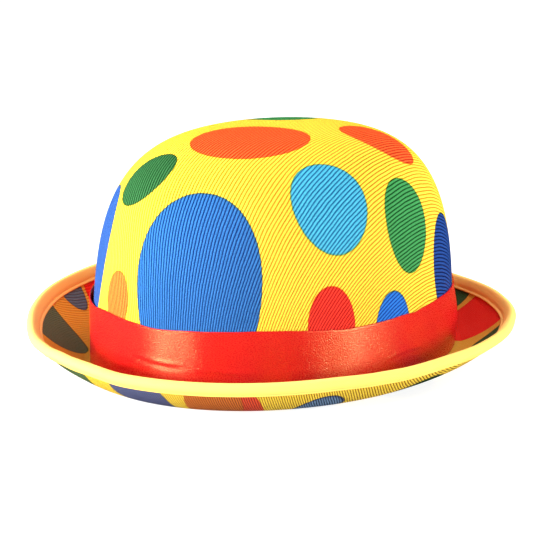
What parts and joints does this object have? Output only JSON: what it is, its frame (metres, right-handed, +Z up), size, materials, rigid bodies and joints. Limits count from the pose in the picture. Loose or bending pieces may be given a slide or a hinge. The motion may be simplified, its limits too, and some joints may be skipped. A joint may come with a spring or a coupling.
{
  "type": "clown bowler hat",
  "caption": "Clown's bowler hat: hollow rounded cloth crown with a dotted print, a ribbon round its foot, and an oval brim curled up all round with a taped edge.",
  "frame": {"origin": "on the surface the hat stands on, under the middle of the brim", "axes": "+Z up out of the top of the crown, -Y towards the front of the hat, +Y towards the back, +X towards the side that is on the right when the hat is seen from its front"},
  "size_m": [0.2456, 0.27, 0.121],
  "materials": {
    "crown": "ribbed stretch cloth printed with large dots, matt",
    "brim": "ribbed stretch cloth printed with large dots, matt",
    "ribbon_band": "satin",
    "edge_binding": "woven tape, matt"
  },
  "bodies": {
    "root": {"crown": "crown", "brim": "brim", "ribbon_band": "ribbon_band", "edge_binding": "edge_binding"}
  },
  "joints": []
}
